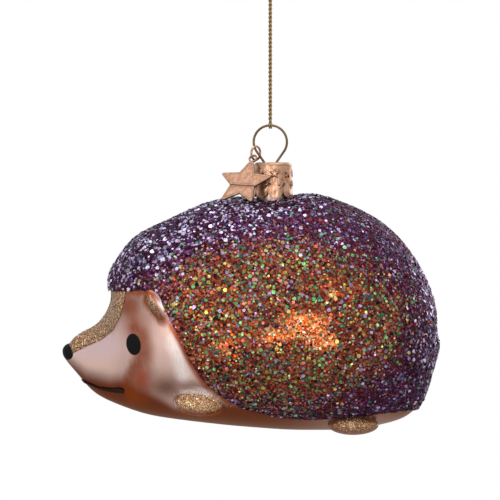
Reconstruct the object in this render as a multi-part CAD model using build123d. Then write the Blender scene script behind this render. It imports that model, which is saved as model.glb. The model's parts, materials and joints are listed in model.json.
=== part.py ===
from build123d import *
import os
from math import asin, atan2, copysign, cos, degrees, hypot, pi, radians, sin

# A blown-glass hedgehog that hangs from a thread on a Christmas tree. Millimetres, +Z up.
# The hedgehog faces -X, and its left side is -Y. The origin is the inner top of the
# thread's eye, the point that a hook or a twig carries.

# Glass body: nose to back and belly to crown over the coat, width, and the layers
body_length = 94.0
body_height = 60.0
body_width = 51.0
glass_wall = 1.0
coat_thickness = 0.6
gold_thickness = 0.25
nose_to_thread = 51.8
thread_to_belly = 120.0

# Each section of the body is a closed curve from a crown point to a belly point:
# shares of body_length and body_height for both points, then of half the width.
section_shares = (
    (0.020, 0.382, 0.007, 0.310, 0.075),
    (0.049, 0.422, 0.035, 0.257, 0.153),
    (0.089, 0.457, 0.070, 0.193, 0.275),
    (0.116, 0.510, 0.102, 0.155, 0.380),
    (0.129, 0.577, 0.152, 0.120, 0.478),
    (0.127, 0.650, 0.213, 0.087, 0.580),
    (0.148, 0.722, 0.287, 0.065, 0.702),
    (0.191, 0.807, 0.362, 0.050, 0.808),
    (0.280, 0.882, 0.452, 0.035, 0.890),
    (0.378, 0.950, 0.532, 0.025, 0.953),
    (0.484, 0.977, 0.606, 0.018, 0.988),
    (0.564, 0.970, 0.660, 0.017, 1.000),
    (0.644, 0.990, 0.713, 0.017, 0.992),
    (0.745, 0.953, 0.777, 0.020, 0.957),
    (0.840, 0.877, 0.846, 0.040, 0.878),
    (0.915, 0.760, 0.910, 0.073, 0.729),
    (0.965, 0.622, 0.951, 0.143, 0.518),
    (0.986, 0.500, 0.979, 0.273, 0.290),
)
nose_tip_share = (0.001, 0.347)
back_tip_share = (0.991, 0.392)
neck_section = 11
section_fullness_share = 0.92
points_per_section = 16

# Outline of the glitter coat in the side view, as shares of the body
coat_front_shares = ((0.050, 0.598), (0.133, 0.602), (0.209, 0.608), (0.240, 0.607), (0.268, 0.545))
coat_edge_shares = (
    (0.268, 0.545),
    (0.290, 0.475),
    (0.317, 0.387),
    (0.343, 0.307),
    (0.366, 0.248),
    (0.412, 0.178),
    (0.473, 0.123),
    (0.545, 0.088),
    (0.644, 0.070),
    (0.770, 0.083),
    (0.926, 0.105),
    (1.040, 0.115),
)
coat_corner_shares = ((1.040, 1.100), (0.050, 1.100))

# Gold stripe from the nose up to the coat, as shares of the body
stripe_shares = (
    (0.170, 0.620),
    (0.163, 0.550),
    (0.152, 0.492),
    (0.133, 0.438),
    (0.103, 0.398),
    (0.062, 0.368),
    (0.026, 0.338),
    (0.012, 0.338),
    (0.012, 0.620),
)

# Neck under the cap, and how far its axis stands from the thread
neck_radius = 4.1
neck_wall = 0.9
neck_to_thread = 0.65

# Ears and paws moulded on each side: length, depth, height; place along, up, out
ear_size = (9.8, 3.4, 4.4)
ear_place_shares = (0.257, 0.541, 0.765)
ear_tilt = 54.0
front_paw_size = (13.2, 6.4, 6.4)
front_paw_place_shares = (0.364, 0.138, 0.545)
front_paw_tilt = 4.0
rear_paw_size = (12.6, 8.0, 5.0)
rear_paw_place_shares = (0.770, 0.045, 0.400)
rear_paw_tilt = 0.0

# Gold patches on the ears and paws: length and height, and place in the side view
ear_gold_size = (6.6, 2.0)
ear_gold_place_shares = (0.243, 0.533)
front_gold_size = (12.0, 4.9)
front_gold_place_shares = (0.363, 0.142)
rear_gold_size = (11.4, 4.2)
rear_gold_place_shares = (0.772, 0.042)

# Raised enamel: nose with its height, width and depth, eyes and the smile line
nose_size = (4.7, 4.6, 3.4)
nose_place_shares = (0.015, 0.338)
nose_tilt = 70.0
eye_size = (4.2, 5.4)
eye_relief = 0.45
eye_place_shares = (0.190, 0.382)
mouth_relief = 0.25
mouth_shares = (
    (0.030, 0.240),
    (0.063, 0.217),
    (0.093, 0.198),
    (0.128, 0.193),
    (0.152, 0.197),
    (0.163, 0.190),
    (0.162, 0.174),
    (0.138, 0.177),
    (0.109, 0.184),
    (0.077, 0.201),
    (0.030, 0.228),
)

# Stamped cap with a scalloped skirt
cap_sheet = 0.3
cap_height = 8.8
cap_top_radius = 4.7
cap_skirt_radius = 5.05
cap_corner = 0.7
cap_above_crown = 0.9
cap_clearance = 0.3
scallop_count = 8
scallop_depth = 1.6
scallop_turn = 8.0

# Sprung hanger, one wire: a ring over the cap and two legs inside the neck
wire_radius = 0.3
wire_hole_radius = 0.62
ring_radius = 4.15
ring_above_cap = 5.1
leg_hole_offset = 1.4
leg_bend_radius = 0.9
leg_length = 6.9
leg_play = 0.1

# Jump ring between the hanger and the charm, placed from the hanger ring's centre
jump_radius = 1.7
jump_wire_radius = 0.28
jump_place = (-3.62, -0.475, -2.78)
jump_turn = 49.2
jump_lean = 2.4

# Star charm: a pressed plate with a lug and a fold line
star_radius = 7.6
star_inner_share = 0.47
star_plate = 0.4
star_corner = 0.35
star_lug_radius = 1.15
star_hole_radius = 0.75
star_drop = 7.4
star_groove_width = 0.24
star_groove_depth = 0.12
star_at = -125.1
star_turn = -25.0
star_lean = 37.3
star_roll = -3.7

# Thread: eye, knot, straight run, and the hitch round the hanger
thread_radius = 0.5
strand_radius = 0.26
eye_radius = 2.6
eye_drop = 9.0
knot_radius = 1.35
knot_height = 2.2
hitch_clearance = 0.1
hitch_gap = 0.3
wrap_spacing = 0.46

# Cuts and blocks run past what they meet by this much
overrun = 2.0


def body_x(share):
    """X of a place given as a share of the body's length."""
    return share * body_length - nose_to_thread


def body_z(share):
    """Z of a place given as a share of the body's height."""
    return share * body_height - thread_to_belly


# Levels and radii that pieces share
crown_level = body_z(section_shares[neck_section][1])
skirt_level = crown_level + cap_above_crown
cap_level = skirt_level + cap_height
ceiling_level = cap_level - cap_sheet
neck_level = ceiling_level - cap_clearance
bore_radius = neck_radius - neck_wall
hole_level = ceiling_level + cap_sheet / 2
ring_level = cap_level + ring_above_cap
knot_level = -eye_drop
hitch_radius = wire_radius + hitch_clearance + strand_radius


def side_outline(shares):
    """Points of a side-view outline in the drawing plane."""
    return [(body_x(along), body_z(up)) for along, up in shares]


def flattened(value):
    """A sine or cosine, pressed outward a little so that the sections are full."""
    return copysign(abs(value) ** section_fullness_share, value)


def section_point(row, step):
    """Point of one section, counted round from the belly."""
    crown_along, crown_up, belly_along, belly_up, width = section_shares[row]
    turn = 2 * pi * step / points_per_section - pi / 2
    rise = (flattened(sin(turn)) + 1) / 2
    along = belly_along + (crown_along - belly_along) * rise
    up = belly_up + (crown_up - belly_up) * rise
    out = width * flattened(cos(turn)) * body_width / 2
    return Vector(body_x(along), out, body_z(up))


def tip_point(share, growth):
    """Nose or back end of the body, moved outward by the growth."""
    outward = -growth if share == nose_tip_share else growth
    return Vector(body_x(share[0]) + outward, 0, body_z(share[1]))


def surface_normal(row, step):
    """Outward direction of the body's surface at a section point."""
    last = len(section_shares) - 1
    before = section_point(row - 1, step) if row > 0 else tip_point(nose_tip_share, 0)
    after = section_point(row + 1, step) if row < last else tip_point(back_tip_share, 0)
    around = section_point(row, step + 1) - section_point(row, step - 1)
    return around.cross(after - before).normalized()


def body_skin(growth):
    """The body as one solid, with its surface moved outward by the growth."""
    knots = [step / points_per_section for step in range(points_per_section + 1)]
    profiles = [Vertex(*tip_point(nose_tip_share, growth))]
    for row in range(len(section_shares)):
        points = []
        for step in range(points_per_section):
            points.append(section_point(row, step) + surface_normal(row, step) * growth)
        profiles.append(Wire([Edge.make_spline(points, periodic=True, parameters=knots)]))
    profiles.append(Vertex(*tip_point(back_tip_share, growth)))
    return Solid.make_loft(profiles)


def across(outline):
    """A block with a side-view outline, a little wider than the body."""
    return extrude(Plane.XZ * make_face(outline), amount=body_width / 2 + overrun, both=True)


def cylinder_between(radius, low, high):
    """An upright cylinder about the cap's axis."""
    return Pos(neck_to_thread, 0, low) * extrude(Circle(radius), amount=high - low)


def ellipsoid(size, place, tilt=0.0, growth=0.0):
    """An ellipsoid of full sizes at a place, tilted in the side view."""
    half_sizes = tuple(length / 2 + growth for length in size)
    return Pos(*place) * Rot(0, tilt, 0) * scale(Sphere(1), by=half_sizes)


def side_window(size, place_shares, tilt, side, start):
    """A block with an elliptical outline in the side view, from a start outward."""
    place = (body_x(place_shares[0]), start, body_z(place_shares[1]))
    along = (cos(radians(tilt)), 0, -sin(radians(tilt)))
    outline = Plane(place, x_dir=along, z_dir=(0, side, 0)) * Ellipse(size[0] / 2, size[1] / 2)
    return extrude(outline, amount=body_width)


def lump(size, place_shares, tilt, side, growth=0.0):
    """An ear or a paw on one side of the body."""
    along, up, out = place_shares
    return ellipsoid(size, (body_x(along), side * out * body_width / 2, body_z(up)), tilt, growth)


skin = body_skin(0)

# The moulded lumps: size, place and tilt, then the size and place of the gold on each
lump_kinds = {
    "ear": (ear_size, ear_place_shares, ear_tilt, ear_gold_size, ear_gold_place_shares),
    "front_paw": (
        front_paw_size,
        front_paw_place_shares,
        front_paw_tilt,
        front_gold_size,
        front_gold_place_shares,
    ),
    "rear_paw": (
        rear_paw_size,
        rear_paw_place_shares,
        rear_paw_tilt,
        rear_gold_size,
        rear_gold_place_shares,
    ),
}
sides = {"left": -1, "right": 1}
lumps = [
    lump(size, place, tilt, side)
    for size, place, tilt, _, _ in lump_kinds.values()
    for side in sides.values()
]


def glass_body():
    """Blown shell with its neck, ears and paws; the void comes out as a left and a right half."""
    glass = skin + cylinder_between(neck_radius, crown_level - glass_wall, neck_level)
    glass += lumps
    glass -= split(body_skin(-glass_wall), bisect_by=Plane.XZ, keep=Keep.BOTH).solids()
    return glass - cylinder_between(bore_radius, crown_level - body_height / 4, neck_level + overrun)


def glitter_mantle():
    """Coat of glitter over the back, open round the cap."""
    front = side_outline(coat_front_shares)
    edge = side_outline(coat_edge_shares)
    corners = side_outline(coat_corner_shares)
    outline = Polyline(*front) + Spline(*edge) + Polyline(edge[-1], *corners, front[0])
    coat = body_skin(coat_thickness) & across(outline)
    coat -= [skin] + lumps
    return coat - cylinder_between(cap_skirt_radius + cap_clearance, crown_level - overrun, cap_level)


mantle = glitter_mantle()


def forehead_glitter():
    """Gold stripe from the nose up to the coat."""
    outline = Polyline(*side_outline(stripe_shares), close=True)
    return (body_skin(gold_thickness) & across(outline)) - [skin, mantle]


stripe = forehead_glitter()


def gold_patch(kind, side):
    """Gold glitter on one ear or paw."""
    size, place, tilt, gold_size, gold_place = lump_kinds[kind]
    start = side * place[2] * body_width / 2
    window = side_window(gold_size, gold_place, tilt, side, start)
    patch = lump(size, place, tilt, side, gold_thickness) & window
    return patch - [skin, mantle, lump(size, place, tilt, side)]


def nose_enamel():
    """Blob of enamel on the tip of the snout, over the end of the stripe."""
    place = (body_x(nose_place_shares[0]), 0, body_z(nose_place_shares[1]))
    return ellipsoid(nose_size, place, nose_tilt) - [skin, stripe]


def eye_enamel(side):
    """Oval bead of enamel that lies flat on the cheek."""
    line = Axis((body_x(eye_place_shares[0]), 0, body_z(eye_place_shares[1])), (0, side, 0))
    hits = skin.find_intersection_points(line)
    seat, outward = max(hits, key=lambda hit: side * hit[0].Y)
    if outward.Y * side < 0:
        outward = -outward
    bead = scale(Sphere(1), by=(eye_size[0] / 2, eye_size[1] / 2, eye_relief))
    level = Vector(0, 0, 1).cross(outward)
    return Plane(seat, x_dir=level, z_dir=outward) * bead - skin


def mouth_line():
    """Smile line round the front of the snout."""
    outline = Polyline(*side_outline(mouth_shares), close=True)
    return (body_skin(mouth_relief) & across(outline)) - skin


def scallop_notch():
    """Pointed notch between two scallops, seen along the radius."""
    half_pitch = pi * cap_skirt_radius / scallop_count
    arc_radius = (half_pitch**2 + scallop_depth**2) / (2 * scallop_depth)
    below = -overrun
    outline = RadiusArc((0, scallop_depth), (half_pitch, 0), arc_radius)
    outline += Polyline((half_pitch, 0), (half_pitch, below), (-half_pitch, below), (-half_pitch, 0))
    outline += RadiusArc((-half_pitch, 0), (0, scallop_depth), arc_radius)
    return extrude(make_face(outline), amount=overrun)


def cap():
    """Stamped sheet: a flat top, a rounded shoulder and a flared skirt with scallops."""
    shoulder = cap_level - cap_corner
    inner_corner = cap_corner - cap_sheet
    corner_x = cap_top_radius - cap_corner
    outline = Line((0, cap_level), (corner_x, cap_level))
    outline += CenterArc((corner_x, shoulder), cap_corner, 0, 90)
    outline += Polyline(
        (cap_top_radius, shoulder),
        (cap_skirt_radius, skirt_level),
        (cap_skirt_radius - cap_sheet, skirt_level),
        (cap_top_radius - cap_sheet, shoulder),
    )
    outline += CenterArc((corner_x, shoulder), inner_corner, 0, 90)
    outline += Polyline((corner_x, ceiling_level), (0, ceiling_level), (0, cap_level))
    shell = revolve(Plane.XZ * make_face(outline), axis=Axis.Z)
    notch = scallop_notch()
    for step in range(scallop_count):
        turn = radians(scallop_turn + (step + 0.5) * 360 / scallop_count)
        outward = (cos(turn), sin(turn), 0)
        start = Vector(*outward) * (cap_top_radius - cap_sheet - overrun / 4) + Vector(0, 0, skirt_level)
        shell -= Plane(start, x_dir=(-sin(turn), cos(turn), 0), z_dir=outward) * notch
    shell = Pos(neck_to_thread, 0, 0) * shell
    for side in sides.values():
        hole = extrude(Circle(wire_hole_radius), amount=cap_height, both=True)
        shell -= Pos(side * leg_hole_offset, 0, cap_level) * (hole & Box(cap_height, cap_height, cap_corner * 2))
    return shell


def tangent_foot(radius, level, foot_x, foot_z):
    """Angle below the horizontal where a line from a foot touches a ring."""
    reach = hypot(foot_x, level - foot_z)
    lean = asin(radius / reach) - atan2(foot_x, level - foot_z)
    return degrees(lean)


def round_wire(path, radius):
    """Round wire along a path."""
    return sweep(Plane(path @ 0, z_dir=path % 0) * Circle(radius), path=path)


def hanger_wire():
    """Ring, two lines that close towards the cap, and two sprung legs in the bore."""
    lean = tangent_foot(ring_radius, ring_level, leg_hole_offset, hole_level)
    touch = Vector(ring_radius * cos(radians(lean)), ring_level - ring_radius * sin(radians(lean)))
    leg_reach = bore_radius - leg_play - wire_radius
    leg_end = hole_level - leg_length
    right = FilletPolyline(
        (neck_to_thread + leg_reach, leg_end),
        (leg_hole_offset, hole_level),
        (touch.X, touch.Y),
        radius=leg_bend_radius,
    )
    ring = CenterArc((0, ring_level), ring_radius, -lean, 180 + 2 * lean)
    left = FilletPolyline(
        (-touch.X, touch.Y),
        (-leg_hole_offset, hole_level),
        (neck_to_thread - leg_reach, leg_end),
        radius=leg_bend_radius,
    )
    path = Plane.XZ * Wire(right.edges() + ring.edges() + left.edges())
    return round_wire(path, wire_radius)


# The jump ring's own plane: x to its right, y up, z along its axis
jump_centre = Vector(0, 0, ring_level) + Vector(*jump_place)
jump_plane = Plane(jump_centre) * Rot(0, 0, jump_turn) * Rot(jump_lean, 0, 0) * Rot(90, 0, 0)


def jump_ring():
    """Small ring that links the hanger and the charm."""
    return jump_plane * Torus(jump_radius, jump_wire_radius)


def star_charm():
    """Pressed star with a lug at its top point and a fold line across its lower half."""
    points = []
    for step in range(10):
        reach = star_radius * (star_inner_share if step % 2 else 1)
        turn = radians(90 + 36 * step)
        points.append((reach * cos(turn), reach * sin(turn) - star_drop))
    outline = make_face(Polyline(*points, close=True))
    tips = outline.vertices().sort_by(lambda point: hypot(point.X, point.Y + star_drop))[5:]
    outline = fillet(tips, star_corner)
    outline += Circle(star_lug_radius)
    outline -= Circle(star_hole_radius)
    plate = extrude(outline, amount=star_plate / 2, both=True)
    fold_y = points[3][1]
    groove = Box(2 * star_radius, star_groove_width, 2 * star_groove_depth)
    plate -= Pos(0, fold_y, star_plate / 2) * groove
    turn = radians(star_at)
    hole = jump_plane * Pos(jump_radius * cos(turn), jump_radius * sin(turn), 0)
    place = Pos(*hole.position)
    return place * Rot(0, 0, star_turn) * Rot(-star_lean, 0, 0) * Rot(90, 0, 0) * Rot(0, 0, star_roll) * plate


def thread_hitch():
    """Two turns of the thread round the top of the hanger ring."""
    wrap = Rot(0, 90, 0) * Torus(hitch_radius, strand_radius)
    middle = ring_level + ring_radius
    return Pos(-wrap_spacing / 2, 0, middle) * wrap + Pos(wrap_spacing / 2, 0, middle) * wrap


def thread_cord():
    """Straight run of the thread from the knot down to the hitch."""
    low = ring_level + ring_radius + hitch_radius + strand_radius + hitch_gap
    high = knot_level - knot_height / 2
    return Pos(0, 0, low) * extrude(Circle(thread_radius), amount=high - low)


def thread_knot():
    """Knot that closes the eye."""
    return Pos(0, 0, knot_level) * (Sphere(knot_radius) & Box(2 * knot_radius, 2 * knot_radius, knot_height))


def thread_loop():
    """Eye that the ornament hangs by; its ends run into the knot."""
    level = strand_radius - eye_radius
    lean = tangent_foot(eye_radius, level, strand_radius, knot_level)
    touch = Vector(eye_radius * cos(radians(lean)), level - eye_radius * sin(radians(lean)))
    right = Line((strand_radius, knot_level), (touch.X, touch.Y))
    top = CenterArc((0, level), eye_radius, -lean, 180 + 2 * lean)
    left = Line((-touch.X, touch.Y), (-strand_radius, knot_level))
    path = Plane.XZ * Wire(right.edges() + top.edges() + left.edges())
    return round_wire(path, strand_radius)


nodes = {
    "glass_body": glass_body(),
    "glitter_mantle": mantle,
    "forehead_glitter": stripe,
    "nose_enamel": nose_enamel(),
    "mouth_line": mouth_line(),
    "cap": cap(),
    "hanger_wire": hanger_wire(),
    "jump_ring": jump_ring(),
    "star_charm": star_charm(),
    "thread_hitch": thread_hitch(),
    "thread_cord": thread_cord(),
    "thread_knot": thread_knot(),
    "thread_loop": thread_loop(),
}
for name, side in sides.items():
    nodes[f"eye_{name}"] = eye_enamel(side)
    for kind in lump_kinds:
        nodes[f"{kind}_glitter_{name}"] = gold_patch(kind, side)

os.makedirs("parts", exist_ok=True)
for name, shape in nodes.items():
    export_step(shape, f"parts/{name}.step")
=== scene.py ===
import bmesh
import bpy
import json
import math
import numpy as np
from bpy.props import FloatProperty, FloatVectorProperty, IntProperty, PointerProperty
from mathutils import Matrix, Vector, kdtree, noise
from mathutils.bvhtree import BVHTree


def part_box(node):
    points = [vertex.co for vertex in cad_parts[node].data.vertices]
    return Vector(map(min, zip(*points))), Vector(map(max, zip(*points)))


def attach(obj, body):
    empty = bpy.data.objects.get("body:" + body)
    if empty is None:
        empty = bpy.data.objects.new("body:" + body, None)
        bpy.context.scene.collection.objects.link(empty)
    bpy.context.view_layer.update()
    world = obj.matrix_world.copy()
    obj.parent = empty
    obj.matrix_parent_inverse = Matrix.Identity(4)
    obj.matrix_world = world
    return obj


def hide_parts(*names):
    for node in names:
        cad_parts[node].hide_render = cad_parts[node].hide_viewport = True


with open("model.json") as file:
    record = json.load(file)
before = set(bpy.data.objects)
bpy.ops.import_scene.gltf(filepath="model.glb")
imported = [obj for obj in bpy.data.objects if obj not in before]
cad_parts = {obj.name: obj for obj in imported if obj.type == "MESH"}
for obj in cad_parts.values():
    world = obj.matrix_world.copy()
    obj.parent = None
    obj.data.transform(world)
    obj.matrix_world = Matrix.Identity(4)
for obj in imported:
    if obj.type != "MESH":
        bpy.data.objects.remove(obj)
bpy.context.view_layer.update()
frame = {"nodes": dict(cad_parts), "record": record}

bl_info = {
    "name": "Hanging hedgehog ornament",
    "version": (1, 0, 0),
    "blender": (4, 5, 0),
    "location": "View3D > Sidebar > Hedgehog",
    "description": "Dresses the blown-glass hedgehog: pearl lacquer, glitter coat, cap, charm and thread",
    "category": "Object",
}

MM = 0.001

# Photograph: pixels to millimetres of the side view, thread at X = 0 and belly at Z = -120
PHOTO_SIZE = 500
PIXELS_PER_MM = 4.0
THREAD_PX = 270.3
BELLY_PX = 434.0
BELLY_LEVEL = -120.0


def photo(points):
    """Side-view millimetres of photograph pixels."""
    p = np.array(points, float)
    return np.c_[(p[:, 0] - THREAD_PX) / PIXELS_PER_MM, (BELLY_PX - p[:, 1]) / PIXELS_PER_MM + BELLY_LEVEL]


def tint(red, green, blue):
    """A colour as it looks on a screen, from 0 to 255, as the linear values that shaders take."""
    def linear(value):
        value = value / 255
        return value / 12.92 if value <= 0.04045 else ((value + 0.055) / 1.055) ** 2.4
    return (linear(red), linear(green), linear(blue))


def scaled(hue, share):
    """A colour made darker or lighter."""
    return [c * share for c in hue]


def colour(name, value, description):
    return FloatVectorProperty(
        name=name, description=description, default=tint(*value), size=3, min=0, max=1, subtype="COLOR"
    )


def length(name, value, description):
    return FloatProperty(
        name=name, description=description, default=value * MM, min=0, unit="LENGTH", precision=5
    )


def amount(name, value, description):
    return IntProperty(name=name, description=description, default=value, min=0)


class HEDGEHOG_PG_colours(bpy.types.PropertyGroup):
    pearl: colour("Pearl", (214, 180, 168), "Pearl lacquer of the cheek")
    mauve: colour("Mauve pearl", (204, 176, 178), "Cooler pearl on the snout")
    tan: colour("Tan pearl", (126, 84, 70), "Warmer pearl of the brow")
    # Painted shade under the cheek
    taupe: colour("Taupe", (108, 66, 48), "Shade under the cheek")
    # Ochre also makes the painted shadow under the front paws
    ochre: colour("Ochre", (134, 60, 22), "Airbrushed line along the coat and the ears")
    # A darker umber also makes the painted shade of the belly's underside
    umber: colour("Umber", (112, 54, 32), "Airbrushed brown of the chin and belly")
    # Painted highlight: lighter pearl on the cheek, the ears and over the front paws, where the lamps'
    # highlights fall
    glow: colour("Painted pearl highlight", (250, 238, 234), "Painted highlight of the cheek, the ears and over the front paws")
    blush: colour("Blush", (196, 84, 56), "Blush of the cheek")
    # Painted iridescent sheen: the copper of the flanks and the burgundy of the back stand for the colours
    # the flakes shift to with the angle of view and light
    side_sheen_glue: colour("Glue sheen on the flanks", (108, 40, 24), "Painted copper sheen of the glue between the flakes of the flanks")
    rim_sheen_glue: colour("Glue sheen on the back", (62, 16, 36), "Painted burgundy sheen of the glue between the flakes of the back")
    gold: colour("Gold glitter", (164, 120, 82), "Fine glitter of the stripe, ears and paws")
    rose_gold: colour("Rose gold", (204, 164, 140), "Plating of the cap, the jump ring and the charm")
    antique: colour("Antique gold", (108, 90, 64), "Plating of the sprung wire")
    thread: colour("Thread", (144, 118, 80), "Metallic thread")
    enamel: colour("Black enamel", (6, 5, 6), "Nose and eyes")
    smile: colour("Brown enamel", (30, 15, 11), "Smile line, and the paint at the foot of the neck")


class HEDGEHOG_PG_sizes(bpy.types.PropertyGroup):
    flake_small: length("Small flake", 0.6, "Width of a small flake across its corners")
    flake_large: length("Large flake", 0.92, "Width of a large flake across its corners")
    flake_sheet: length("Flake thickness", 0.035, "Thickness of a flake")
    small_flakes: amount("Small flakes", 18500, "Most small flakes on the coat")
    large_flakes: amount("Large flakes", 6800, "Most large flakes on the coat")
    strand: length("Strand", 0.52, "Width of one strand of the thread")
    twist: length("Twist", 2.1, "Length of one full turn of the thread's strands")
    emboss: length("Emboss", 0.3, "Relief of the stars stamped in the cap")
    crumple: length("Crumple", 0.10, "Relief of the cap's dents")
    lens: FloatProperty(name="Lens", description="Camera lens", default=460.0, min=1, unit="CAMERA")


# Shading: one class for sums over a surface, one for a tree of nodes and one for a material


class Shade:
    """A number that varies over a surface. Arithmetic on it adds Math nodes."""

    def __init__(self, paint, socket):
        self.paint = paint
        self.socket = socket

    def reckon(self, operation, *values, clamp=False):
        return self.paint.node("ShaderNodeMath", {"operation": operation, "use_clamp": clamp}, values)

    def __add__(self, other):
        return self.reckon("ADD", self, other)

    def __sub__(self, other):
        return self.reckon("SUBTRACT", self, other)

    def __rsub__(self, other):
        return self.reckon("SUBTRACT", other, self)

    def __mul__(self, other):
        return self.reckon("MULTIPLY", self, other)

    def clamped(self):
        return self.reckon("ADD", self, 0.0, clamp=True)

    __radd__ = __add__
    __rmul__ = __mul__


class Wiring:
    """A node tree, and the one way to add a node to it."""

    def __init__(self, tree):
        self.tree = tree

    def node(self, kind, settings=None, inputs=(), output=0):
        """Adds a node: settings first, then the values or links of its inputs."""
        made = self.tree.nodes.new(kind)
        for key, value in (settings or {}).items():
            if key == "stops":
                ramp = made.color_ramp
                while len(ramp.elements) < len(value):
                    ramp.elements.new(0.5)
                for element, (place, stop) in zip(ramp.elements, value):
                    element.position = place
                    element.color = (*stop, 1)
            else:
                setattr(made, key, value)
        pairs = inputs.items() if isinstance(inputs, dict) else enumerate(inputs)
        for key, value in pairs:
            if isinstance(value, Shade):
                self.tree.links.new(value.socket, made.inputs[key])
            else:
                made.inputs[key].default_value = value
        return Shade(self, made.outputs[output]) if made.outputs else made


class Paint(Wiring):
    """A material: its Principled shader and the nodes that feed it."""

    def __init__(self, name, **constants):
        self.material = bpy.data.materials.new(name)
        self.material.use_nodes = True
        super().__init__(self.material.node_tree)
        self.shader = next(n for n in self.tree.nodes if n.type == "BSDF_PRINCIPLED")
        for socket, value in constants.items():
            self.shader.inputs[socket.replace("_", " ").title().replace("Ior", "IOR")].default_value = value

    def vector(self, operation, inputs):
        return self.node("ShaderNodeVectorMath", {"operation": operation}, inputs)

    def place(self):
        """Object coordinates in millimetres."""
        return self.vector("SCALE", {0: self.node("ShaderNodeTexCoord", output="Object"), "Scale": 1 / MM})

    def mixed(self, first, second, factor, blend="MIX"):
        first, second = (c if isinstance(c, Shade) else (*c, 1) for c in (first, second))
        settings = {"data_type": "RGBA", "blend_type": blend}
        return self.node("ShaderNodeMix", settings, {0: factor, 6: first, 7: second}, output=2)

    def ramp(self, stops, factor):
        """Colour of a factor, from stops of a place and a colour."""
        return self.node("ShaderNodeValToRGB", {"stops": stops}, (factor,))

    def channels(self, value, names):
        return [self.node("ShaderNodeSeparateColor", {}, (value,), output=name) for name in names]

    def grey(self, value):
        return self.node("ShaderNodeCombineColor", {}, (value,) * 3)

    def attribute(self, name, output="Fac"):
        return self.node("ShaderNodeAttribute", {"attribute_name": name}, output=output)

    def noisy(self, scale, detail=3.0, stretch=(1, 1, 1)):
        """Noise from 0 to 1 over object coordinates in millimetres."""
        spot = self.node("ShaderNodeMapping", {}, {"Vector": self.place(), "Scale": stretch})
        return self.node("ShaderNodeTexNoise", {}, {"Vector": spot, "Scale": scale, "Detail": detail})

    def cells(self, size):
        """Random colour of round cells of a size in millimetres."""
        inputs = {"Vector": self.place(), "Scale": 1 / size}
        return self.node("ShaderNodeTexVoronoi", {}, inputs, output="Color")

    def feed(self, socket, value):
        self.tree.links.new(value.socket, self.shader.inputs[socket])
        return self

    def bumped(self, height, strength, distance):
        """Bump of a height in millimetres, times strength."""
        inputs = {"Strength": strength, "Distance": distance * MM, "Height": height}
        return self.feed("Normal", self.node("ShaderNodeBump", {}, inputs))

    def facets(self, size, tilt):
        """Turns the surface a random way in each cell, as flakes lie."""
        way = self.vector("SUBTRACT", {0: self.cells(size), 1: (0.5, 0.5, 0.5)})
        lean = self.vector("SCALE", {0: way, "Scale": tilt})
        flat = self.node("ShaderNodeNewGeometry", output="Normal")
        return self.feed("Normal", self.vector("NORMALIZE", {0: self.vector("ADD", {0: flat, 1: lean})}))


# Size of the grains in the glue and in the gold, in millimetres
GLUE_GRAIN = 0.36
GOLD_GRAIN = 0.2


def pearl_lacquer(look):
    """Silvered glass under pearl lacquer, with airbrush paint, painted shade and painted highlights from the
    masks on its points.
    """
    p = Paint("pearl_lacquer", coat_roughness=0.2, specular_ior_level=0.3, specular_tint=(0.8, 0.66, 0.56, 1))
    streak = p.noisy(0.9, detail=4.0, stretch=(2.2, 2.2, 0.18))
    cloud = p.noisy(0.16)
    dust = p.noisy(5.0, detail=2.0)
    base = look.pearl
    for hue, share in (
        (look.mauve, p.attribute("snout")),
        (look.tan, p.attribute("brow") * (0.75 + 0.5 * cloud)),
        # Painted shade under the cheek
        (look.taupe, p.attribute("shade")),
        # Painted highlights on the cheek, the ears and the front paws
        (look.glow, (p.attribute("light") * (0.6 + 0.8 * streak)).clamped()),
        (look.umber, p.attribute("umber")),
        # Painted shade on the belly's underside
        (scaled(look.umber, 0.42), p.attribute("keel")),
        (look.blush, p.attribute("blush")),
        (look.ochre, (p.attribute("ochre") * (0.65 + 0.6 * cloud)).clamped()),
        (look.smile, p.attribute("dark")),
        (tint(208, 206, 204), p.attribute("bare")),
    ):
        base = p.mixed(base, hue, share)
    base = p.mixed(base, p.grey((0.86 + 0.16 * streak + 0.1 * dust).clamped()), 1.0, blend="MULTIPLY")
    p.feed("Base Color", base).feed("Roughness", 0.3 + 0.14 * streak)
    p.feed("Metallic", 0.6 + 0.32 * (p.attribute("umber") + p.attribute("ochre")).clamped())
    p.feed("Coat Weight", 0.3 * (1 - (p.attribute("umber") + p.attribute("dark")).clamped()))
    return p.bumped(streak, 0.2, 0.04).material


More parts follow.
